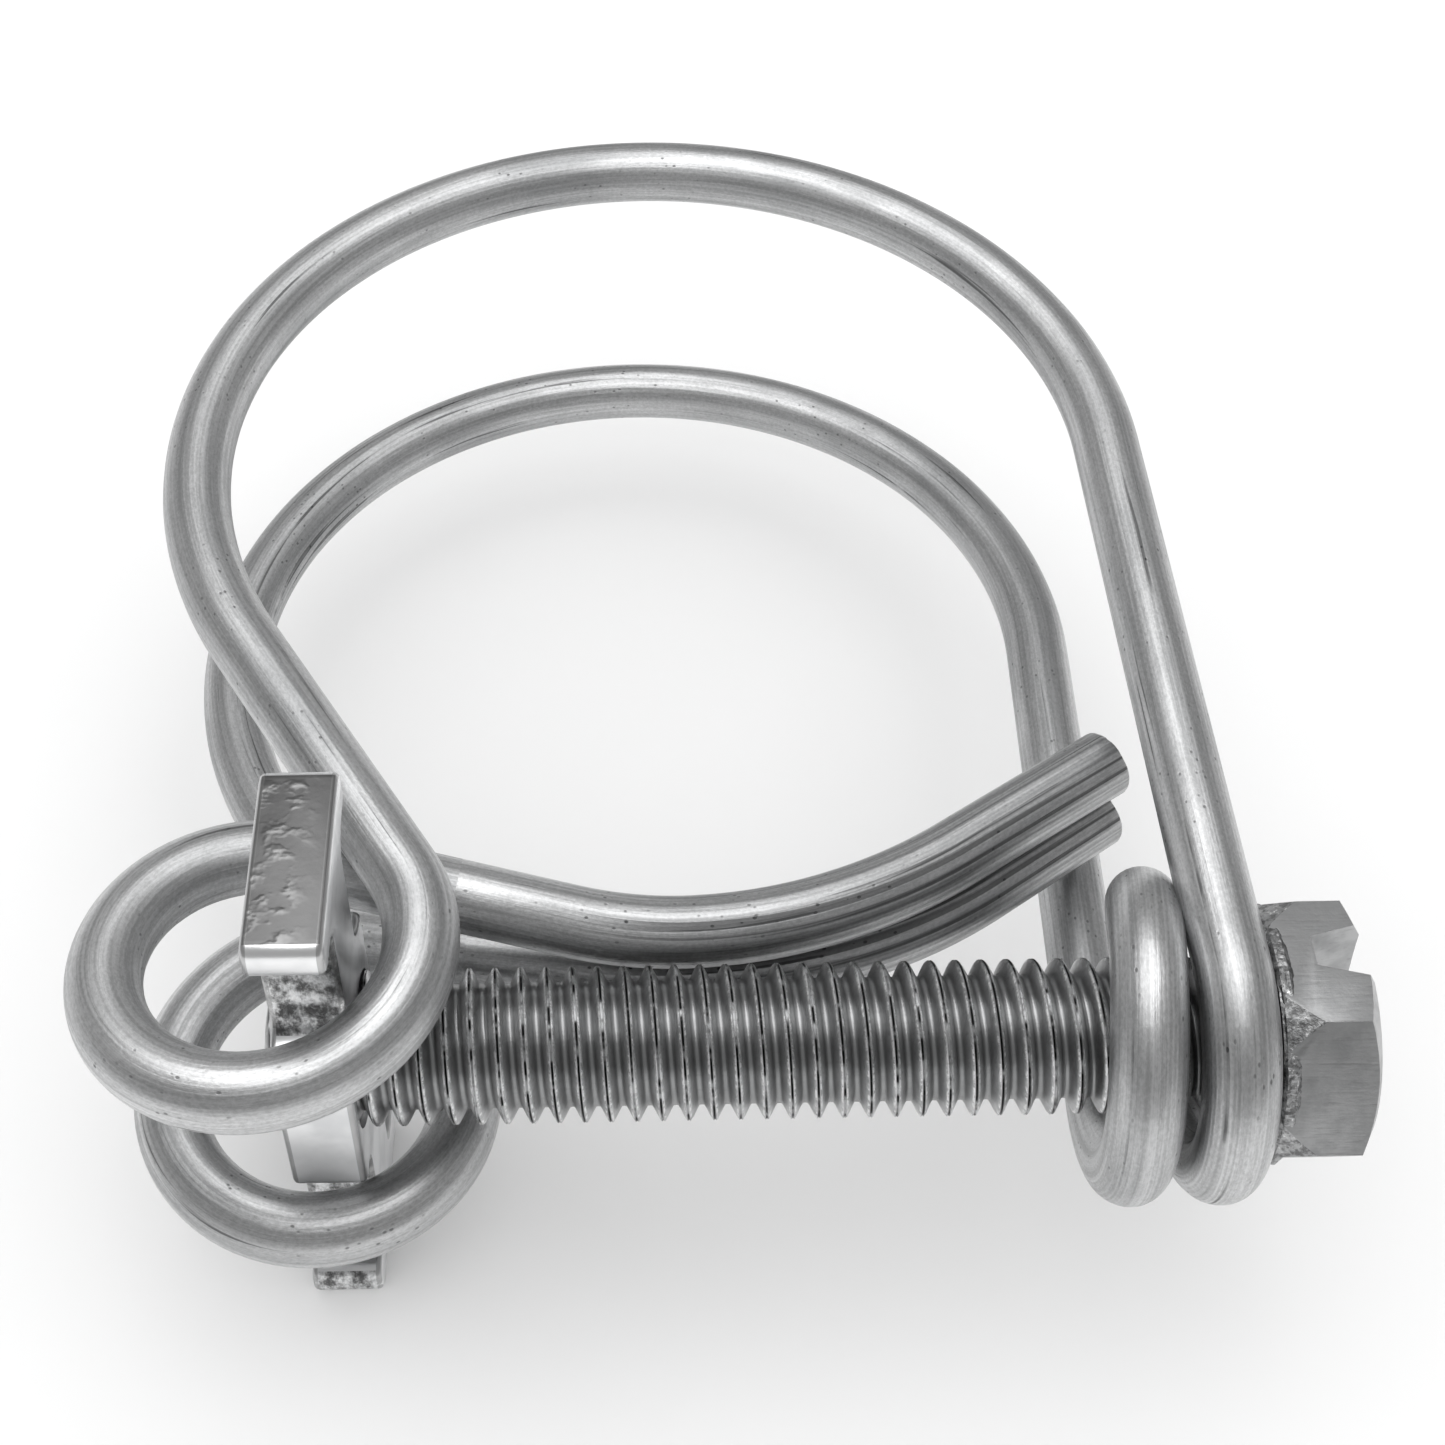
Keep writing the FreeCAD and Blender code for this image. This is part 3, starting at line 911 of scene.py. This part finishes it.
@dataclass
class ClampScrew:
    """M6 screw with a helical thread and a slotted hexagon head; sizes in millimetres."""

    axis_y: float
    tip_x: float
    end_x: float
    major_d: float = 5.97
    depth: float = 0.61
    pitch: float = 1.0
    phase: float = 0.0
    seam: float = 0.09
    tip_chamfer: float = 0.7
    across_flats: float = 9.5
    head_height: float = 3.8
    head_turn: float = -1.5
    end_inset: float = 0.33
    end_slope: float = 30.0
    collar_rise: float = 0.27
    collar_height: float = 0.5
    collar_run_out: float = 0.36
    corner_bevel: float = 1.55
    blank_margin: float = 0.1
    blank_steps_round: int = 96
    collar_lip: float = 0.16
    collar_sink: float = 0.12
    collar_start: float = 0.12
    collar_step: float = 0.06
    collar_steps_round: int = 260
    torn: float = 0.11
    slot_floor: float = 1.3
    slot_mouth: float = 2.4
    slot_depth: float = 2.1
    slot_turn: float = -7.0
    slot_wander: float = 0.05
    edge_round: float = 0.07
    edge_least_turn: float = 17.0
    shank_overlap: float = 0.6
    around: int = 56
    tooth_root: float = 0.17
    tooth_flank: float = 0.70
    tooth_roundness: float = 0.35
    tooth_stops: tuple[float, ...] = (0.0, 0.09, 0.16, 0.30, 0.40, 0.455, 0.5, 0.545, 0.60, 0.70, 0.84, 0.91)
    flat_gloom: float = 0.62
    small_edge: float = 0.3
    strip_width: float = 0.07
    shank_sharp: float = 60.0
    head_sharp: float = 14.0

    def tooth(self, share: float) -> float:
        """Height of the thread, 0 at the root and 1 at the crest.

        Args:
            share: place along one pitch, from 0 to 1.

        Returns:
            The height.
        """
        wave = 1 - abs(2 * share - 1)
        rise = min(1.0, max(0.0, (wave - self.tooth_root) / self.tooth_flank))
        rounded = smooth(rise) * self.tooth_roundness + rise * (1 - self.tooth_roundness)
        on_crest = wave > 0.99
        return rounded - (self.seam if on_crest else 0.0)

    def shank(self, material: bpy.types.Material) -> bpy.types.Object:
        """Wind the threaded shank.

        Args:
            material: its finish.

        Returns:
            The piece.
        """
        mesh = bmesh.new()
        layer = mesh.verts.layers.float_vector.new(THREAD_PLACE)
        root_r = self.major_d / 2 - self.depth
        turns = math.ceil((self.end_x - self.tip_x) / self.pitch) + 2
        start = self.tip_x - 2 * self.pitch + self.phase * self.pitch
        line = []
        for turn in range(turns):
            for share in self.tooth_stops:
                height = self.tooth(share)
                place = (start + (turn + share) * self.pitch, self.axis_y + root_r + self.depth * height, 0)
                vert = mesh.verts.new(Vector(place) * MM)
                vert[layer] = Vector((1 - height, 2 * share - 1, 0))
                line.append(vert)
        edges = [mesh.edges.new(pair) for pair in zip(line, line[1:])]
        bmesh.ops.spin(mesh, geom=line + edges, cent=Vector((0, self.axis_y, 0)) * MM, axis=(1, 0, 0),
                       dvec=Vector((self.pitch * MM / self.around, 0, 0)), angle=math.tau,
                       steps=self.around)
        bmesh.ops.remove_doubles(mesh, verts=mesh.verts, dist=2e-6)
        seat = self.end_x - self.head_height + self.shank_overlap
        for x, keep in ((self.tip_x, -1), (seat, 1)):
            geom = mesh.verts[:] + mesh.edges[:] + mesh.faces[:]
            bmesh.ops.bisect_plane(mesh, geom=geom, plane_co=Vector((x, 0, 0)) * MM,
                                   plane_no=(keep, 0, 0), clear_outer=True)
        rims = [edge for edge in mesh.edges if edge.is_boundary]
        bmesh.ops.holes_fill(mesh, edges=rims, sides=0)
        self.chamfer_tip(mesh)
        bmesh.ops.recalc_face_normals(mesh, faces=mesh.faces)
        return piece("screw_shank", mesh, material, self.shank_sharp)

    def chamfer_tip(self, mesh: bmesh.types.BMesh) -> None:
        """Bring the thread down to a cone at the tip.

        Args:
            mesh: the shank.
        """
        for vert in mesh.verts:
            along = vert.co.x / MM - self.tip_x
            across = Vector((vert.co.y / MM - self.axis_y, vert.co.z / MM))
            allowed = self.major_d / 2 - self.tip_chamfer + along
            if across.length > allowed:
                across = across.normalized() * allowed
                vert.co.y = (self.axis_y + across.x) * MM
                vert.co.z = across.y * MM

    def turned(self, outline: Sequence[tuple[float, float]], steps: int) -> bmesh.types.BMesh:
        """Turn an outline about the screw's axis.

        Args:
            outline: place along the screw and radius of each point.
            steps: how many steps go round.

        Returns:
            The closed mesh.
        """
        mesh = bmesh.new()
        line = [mesh.verts.new(Vector((x, self.axis_y + radius, 0)) * MM) for x, radius in outline]
        edges = [mesh.edges.new(pair) for pair in zip(line, line[1:])]
        bmesh.ops.spin(mesh, geom=line + edges, cent=Vector((0, self.axis_y, 0)) * MM, axis=(1, 0, 0),
                       dvec=(0, 0, 0), angle=math.tau, steps=steps, use_merge=True)
        bmesh.ops.remove_doubles(mesh, verts=mesh.verts, dist=1e-6)
        bmesh.ops.recalc_face_normals(mesh, faces=mesh.faces)
        return mesh

    def hexagon(self) -> bmesh.types.BMesh:
        """Six flats with a chamfered outer end and bevelled corners."""
        seat_x = self.end_x - self.head_height
        flat_r = self.across_flats / 2
        corner_r = flat_r / math.cos(math.radians(30))
        clear_r = corner_r + self.blank_margin
        end_r = flat_r - self.end_inset
        bevel_x = seat_x + self.corner_bevel
        chamfer_x = self.end_x - (clear_r - end_r) * math.tan(math.radians(self.end_slope))
        outline = [(seat_x, 0.0), (seat_x, flat_r + self.collar_rise - self.blank_margin),
                   (bevel_x, corner_r + 0.02), (bevel_x, clear_r), (chamfer_x, clear_r),
                   (self.end_x, end_r), (self.end_x, 0.0)]
        mesh = self.turned(outline, self.blank_steps_round)
        for index in range(6):
            turn = math.radians(self.head_turn + 30 + 60 * index)
            outward = Vector((0, math.cos(turn), math.sin(turn)))
            place = Vector((0, self.axis_y, 0)) + outward * flat_r
            geom = mesh.verts[:] + mesh.edges[:] + mesh.faces[:]
            cut = bmesh.ops.bisect_plane(mesh, geom=geom, plane_co=place * MM, plane_no=outward,
                                         clear_outer=True)["geom_cut"]
            rim = [item for item in cut if isinstance(item, bmesh.types.BMEdge)]
            bmesh.ops.contextual_create(mesh, geom=rim)
        bmesh.ops.recalc_face_normals(mesh, faces=mesh.faces)
        return mesh

    def collar(self) -> bmesh.types.BMesh:
        """Round torn collar, left where the flats were trimmed."""
        seat_x = self.end_x - self.head_height
        flat_r = self.across_flats / 2
        full_r = flat_r + self.collar_rise
        top = self.collar_height + self.collar_run_out
        count = int((top - self.collar_start) / self.collar_step) + 2
        heights = [self.collar_start + self.collar_step * index for index in range(count)]
        fall = (self.collar_rise + self.collar_sink) / self.collar_run_out
        stations = [(along, min(full_r, full_r - (along - self.collar_height) * fall)) for along in heights]
        outline = [(seat_x, 0.0), (seat_x, full_r - self.collar_lip)]
        outline += [(seat_x + along, radius) for along, radius in stations]
        outline += [(seat_x + stations[-1][0], 0.0)]
        mesh = self.turned(outline, self.collar_steps_round)
        for vert in mesh.verts:
            along = vert.co.x / MM - seat_x
            across = Vector((0, vert.co.y - self.axis_y * MM, vert.co.z))
            if across.length < 4.0 * MM or along < 0.05:
                continue
            turn = math.atan2(across.z, across.y)
            ridges = noise.noise(Vector((along * 1.1, math.cos(turn) * 15, math.sin(turn) * 15)))
            crumbs = noise.noise(Vector((along * 6.0, math.cos(turn) * 30, math.sin(turn) * 30 + 9)))
            shift = (ridges * 0.65 + crumbs * 0.45) * self.torn - 0.03
            vert.co += across.normalized() * shift * MM
        return mesh

    def slot(self) -> bmesh.types.BMesh:
        """What the slot takes out of the head: wider at its mouth."""
        mesh = bmesh.new()
        length = 2 * self.across_flats
        block = bmesh.ops.create_cube(mesh, size=1.0)["verts"]
        for vert in block:
            width = 2 * self.slot_mouth - self.slot_floor if vert.co.x > 0 else self.slot_floor
            vert.co = Vector((vert.co.x * 2 * self.slot_depth, vert.co.y * width, vert.co.z * length))
        long_edges = [edge for edge in mesh.edges if abs(edge.verts[0].co.z - edge.verts[1].co.z) > 1]
        bmesh.ops.subdivide_edges(mesh, edges=long_edges, cuts=90, use_grid_fill=True)
        for vert in mesh.verts:
            wander = noise.noise(Vector((vert.co.x * 0.3, 0, vert.co.z * 1.6)))
            vert.co.y += wander * self.slot_wander * (1 if vert.co.y > 0 else -1)
        turned = (Matrix.Translation(Vector((self.end_x, self.axis_y, 0)) * MM)
                  @ Matrix.Rotation(math.radians(self.slot_turn), 4, "X") @ Matrix.Scale(MM, 4))
        bmesh.ops.transform(mesh, matrix=turned, verts=mesh.verts)
        return mesh

    def head(self, material: bpy.types.Material) -> bpy.types.Object:
        """Forge the head, trim its flats and saw its slot.

        Args:
            material: its finish.

        Returns:
            The piece.
        """
        mesh = combined(self.hexagon(), self.slot(), Joining.CUT)
        self.round_edges(mesh)
        mesh = combined(mesh, self.collar(), Joining.JOIN)
        bmesh.ops.remove_doubles(mesh, verts=mesh.verts, dist=1e-7)
        mark(mesh, THREAD_PLACE, self.head_place)
        return piece("screw_head", mesh, material, self.head_sharp)

    def head_place(self, face: bmesh.types.BMFace) -> tuple[float, float, float]:
        """The finish's numbers for one of the head's faces.

        Args:
            face: the face.

        Returns:
            How dark, a number away from the thread's seam (0 on narrow edge strips, which gives them the
            seam's painted shade line), and how torn.
        """
        along = face.calc_center_median().x / MM - self.end_x + self.head_height
        longest = max(edge.calc_length() / MM for edge in face.edges)
        small = along < self.collar_height + self.collar_run_out + 0.1 and longest < self.small_edge
        bevelled = along < self.corner_bevel + 0.1 and -0.6 < face.normal.x < -0.05
        narrow = longest > self.small_edge and face.calc_area() < self.strip_width * longest * MM ** 2
        return (0.0 if narrow else self.flat_gloom, float(not narrow), float(small or bevelled))

    def round_edges(self, mesh: bmesh.types.BMesh) -> None:
        """Take the sharpness off the head's edges.

        Args:
            mesh: the head.
        """
        bmesh.ops.dissolve_limit(mesh, angle_limit=math.radians(0.6), verts=mesh.verts, edges=mesh.edges)
        sharp = [edge for edge in mesh.edges
                 if len(edge.link_faces) == 2
                 and edge.calc_face_angle(0.0) > math.radians(self.edge_least_turn)]
        bmesh.ops.bevel(mesh, geom=sharp, offset=self.edge_round * MM, offset_type="OFFSET", segments=2,
                        profile=0.5, affect="EDGES", material=-1, clamp_overlap=True)
        bmesh.ops.recalc_face_normals(mesh, faces=mesh.faces)

    def build(self, material: bpy.types.Material) -> list[bpy.types.Object]:
        """Build the shank and the head."""
        return [self.shank(material), self.head(material)]


# ---------------------------------------------------------------- plate nut


@dataclass
class PlateNut:
    """I-shaped punched plate with a plain round hole where the screw's thread runs; sizes in millimetres."""

    axis_y: float
    left_x: float
    right_x: float
    half_height: float
    half_bar: float
    bar: float = 1.7
    half_neck: float = 1.9
    half_body: float = 3.6
    shoulder: float = 4.4
    hole_r: float = 3.05
    neck_fillet: float = 0.9
    corner_round: float = 0.6
    rim_round: float = 0.25
    cutter_length: float = 20.0
    sharp: float = 40.0

    def outline(self) -> list[tuple[float, float]]:
        """Corners of the plate: distance across the screw, and height."""
        under = self.half_height - self.bar
        quarter = [(self.half_body, self.shoulder), (self.half_neck, self.shoulder),
                   (self.half_neck, under), (self.half_bar, under), (self.half_bar, self.half_height)]
        half = [(across, -height) for across, height in reversed(quarter)] + quarter
        return half + [(-across, height) for across, height in reversed(half)]

    def build(self, material: bpy.types.Material) -> list[bpy.types.Object]:
        """Punch the plate and cut its round hole.

        Args:
            material: its finish.

        Returns:
            The piece.
        """
        mesh = bmesh.new()
        corners = [mesh.verts.new(Vector((self.left_x, self.axis_y + across, height)) * MM)
                   for across, height in self.outline()]
        mesh.faces.new(corners)
        for inner, radius in ((True, self.neck_fillet), (False, self.corner_round)):
            chosen = [vert for vert in mesh.verts if self.is_neck(vert) == inner and self.is_corner(vert)]
            bmesh.ops.bevel(mesh, geom=chosen, offset=radius * MM, offset_type="OFFSET", segments=5,
                            profile=0.5, affect="VERTICES", material=-1)
        grown = bmesh.ops.extrude_face_region(mesh, geom=mesh.faces[:])["geom"]
        moved = [item for item in grown if isinstance(item, bmesh.types.BMVert)]
        bmesh.ops.translate(mesh, vec=Vector((self.right_x - self.left_x, 0, 0)) * MM, verts=moved)
        bmesh.ops.recalc_face_normals(mesh, faces=mesh.faces)
        rims = [edge for edge in mesh.edges if abs(edge.verts[0].co.x - edge.verts[1].co.x) < 1e-7]
        bmesh.ops.bevel(mesh, geom=rims, offset=self.rim_round * MM, offset_type="OFFSET", segments=3,
                        profile=0.5, affect="EDGES", material=-1, clamp_overlap=True)
        mesh = combined(mesh, self.hole_cutter(), Joining.CUT)
        mark(mesh, PLATE_FACE, self.face_kind)
        return [piece("plate_nut_punched", mesh, material, self.sharp)]

    def hole_cutter(self) -> bmesh.types.BMesh:
        """The round bar that the hole takes out of the plate."""
        mesh = bmesh.new()
        bmesh.ops.create_cone(mesh, cap_ends=True, segments=64, radius1=self.hole_r * MM,
                              radius2=self.hole_r * MM, depth=self.cutter_length * MM)
        middle = Vector(((self.left_x + self.right_x) / 2, self.axis_y, 0)) * MM
        along = Matrix.Translation(middle) @ Matrix.Rotation(math.pi / 2, 4, "Y")
        bmesh.ops.transform(mesh, matrix=along, verts=mesh.verts)
        return mesh

    def face_kind(self, face: bmesh.types.BMFace) -> tuple[float, float, float]:
        """The finish's numbers for one of the plate's faces.

        Args:
            face: the face.

        Returns:
            Whether it is an end of the plate, a torn neck or a rounded rim.
        """
        middle = face.calc_center_median() / MM
        normal = face.normal
        end = abs(normal.z) > 0.9 and abs(middle.z) > self.half_height - 0.1
        beside = abs(middle.y - self.axis_y)
        narrow = beside < self.half_neck + 0.3 or middle.z < -self.half_height + self.bar
        neck = abs(normal.y) > 0.7 and narrow
        rim = 0.1 < abs(normal.x) < 0.95
        return (float(end), float(neck), float(rim))

    def is_corner(self, vert: bmesh.types.BMVert) -> bool:
        """Whether a vertex turns the outline sharply."""
        ways = [edge.other_vert(vert).co - vert.co for edge in vert.link_edges]
        return len(ways) == 2 and ways[0].angle(ways[1]) < math.radians(120)

    def is_neck(self, vert: bmesh.types.BMVert) -> bool:
        """Whether a vertex stands on a neck's side."""
        return abs(abs(vert.co.y / MM - self.axis_y) - self.half_neck) < 0.01


# ---------------------------------------------------------------- studio


@dataclass
class Studio:
    """Pale floor, soft lights and the camera; the camera's distance, lens and sensor in millimetres."""

    azimuth: float = -1.161
    elevation: float = 46.628
    distance: float = 108.362
    lens: float = 58.1321
    sensor: float = 36.0
    shift_x: float = 0.04538
    shift_y: float = -0.10953
    floor_side: float = 3.0
    overhead_place: tuple[float, float, float] = (-0.02, 0.02, 0.26)
    overhead_side: float = 0.26
    overhead_watts: float = 0.48
    table_strength: float = 3.0
    sky_level: float = 0.34

    def camera(self) -> None:
        """Place the camera."""
        data = bpy.data.cameras.new("view")
        data.sensor_width = self.sensor
        data.lens = self.lens
        data.shift_x = self.shift_x
        data.shift_y = self.shift_y
        data.clip_start = 0.005
        data.dof.use_dof = False
        made = bpy.data.objects.new("view", data)
        turn = math.radians(self.azimuth)
        rise = math.radians(self.elevation)
        back = Vector((math.sin(turn) * math.cos(rise), -math.cos(turn) * math.cos(rise), math.sin(rise)))
        made.matrix_world = (Matrix.Translation(back * self.distance * MM)
                             @ back.to_track_quat("Z", "Y").to_matrix().to_4x4())
        bpy.context.scene.collection.objects.link(made)
        bpy.context.scene.camera = made

    def floor(self, level: float, material: bpy.types.Material) -> None:
        """Lay the floor.

        Args:
            level: its height in metres.
            material: its finish.
        """
        mesh = bmesh.new()
        bmesh.ops.create_grid(mesh, x_segments=1, y_segments=1, size=self.floor_side / 2)
        bmesh.ops.translate(mesh, vec=(0, 0, level), verts=mesh.verts)
        data = bpy.data.meshes.new("floor")
        mesh.to_mesh(data)
        mesh.free()
        data.materials.append(material)
        made = bpy.data.objects.new("floor", data)
        bpy.context.scene.collection.objects.link(made)

    def overhead(self) -> None:
        """Hang one soft light over the clamp, for the metal alone."""
        data = bpy.data.lights.new("overhead", "AREA")
        data.shape = "RECTANGLE"
        data.size = self.overhead_side
        data.size_y = self.overhead_side
        data.energy = self.overhead_watts
        made = bpy.data.objects.new("overhead", data)
        place = Vector(self.overhead_place)
        made.matrix_world = Matrix.Translation(place) @ place.to_track_quat("Z", "Y").to_matrix().to_4x4()
        made.visible_diffuse = False
        bpy.context.scene.collection.objects.link(made)

    def sky(self) -> None:
        """Set the plain surroundings."""
        world = bpy.data.worlds.new("surroundings")
        world.use_nodes = True
        background = world.node_tree.nodes["Background"]
        background.inputs["Color"].default_value = (1, 1, 1, 1)
        background.inputs["Strength"].default_value = self.sky_level
        bpy.context.scene.world = world

    def table_light(self) -> None:
        """Light the table evenly, with a wide sun that the metal doesn't mirror."""
        data = bpy.data.lights.new("table_light", "SUN")
        data.energy = self.table_strength
        data.angle = math.radians(180)
        made = bpy.data.objects.new("table_light", data)
        made.visible_glossy = False
        bpy.context.scene.collection.objects.link(made)

    def build(self) -> None:
        """Set up the floor, the lights, the surroundings and the camera."""
        bpy.context.scene.view_settings.view_transform = "Standard"
        self.floor(CAD_BOX[0][2], FloorFinish().material())
        self.overhead()
        self.table_light()
        self.sky()
        self.camera()


# ---------------------------------------------------------------- assembly


def joint_place(name: str) -> Vector:
    """Where a joint of the frame stands, in metres.

    Args:
        name: the joint's name.

    Returns:
        Its place.
    """
    for joint in frame["joints"]:
        if joint["name"] == name:
            return Vector(joint["pos_m"])
    raise ValueError(f"the frame has no joint {name}")


def settle(pieces: Sequence[bpy.types.Object], body: Body, nodes: Sequence[str]) -> None:
    """Let pieces ride on a body in place of CAD nodes.

    Args:
        pieces: the pieces.
        body: the body they follow.
        nodes: the CAD nodes that they stand for.
    """
    for made in pieces:
        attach(made, body.value)
        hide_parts(*nodes)
        LOG.info("%s rides on %s, %d faces", made.name, body.value, len(made.data.polygons))


def dress_nodes(finishes: dict[str, bpy.types.Material]) -> None:
    """Give the CAD nodes their finishes.

    Args:
        finishes: material by node name.
    """
    for name, material in finishes.items():
        node = frame["nodes"][name]
        node.data.materials.clear()
        node.data.materials.append(material)


def main() -> None:
    """Build the clamp and its surroundings."""
    logging.basicConfig(level=logging.INFO, format="%(name)s: %(message)s")
    wire_finish = DrawnWireFinish().material()
    screw_finish = RolledScrewFinish().material()
    nut_finish = PunchedPlateFinish().material()

    wire = SpringWire()
    hoops, upper_tail, lower_tail = wire.build(wire_finish)
    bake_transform(hoops)
    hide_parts("wire_coil_half", "wire_upper_arm", "wire_lower_arm")
    LOG.info("%s bends from the coil side to the eye arms, %d faces", hoops.name, len(hoops.data.polygons))
    settle([upper_tail], Body.EYE_ARMS, ["wire_upper_arm"])
    settle([lower_tail], Body.EYE_ARMS, ["wire_lower_arm"])

    low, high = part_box("clamp_screw")
    screw = ClampScrew(joint_place("screw_turn").y / MM, low.x / MM, high.x / MM)
    settle(screw.build(screw_finish), Body.SCREW, ["clamp_screw"])

    low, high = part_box("plate_nut")
    nut = PlateNut(screw.axis_y, low.x / MM, high.x / MM, high.z / MM, (high.y - low.y) / MM / 2)
    settle(nut.build(nut_finish), Body.NUT, ["plate_nut"])

    dress_nodes({"wire_coil_half": wire_finish, "wire_upper_arm": wire_finish, "wire_lower_arm": wire_finish,
                 "clamp_screw": screw_finish, "plate_nut": nut_finish})
    Studio().build()


if __name__ == "__main__":
    main()
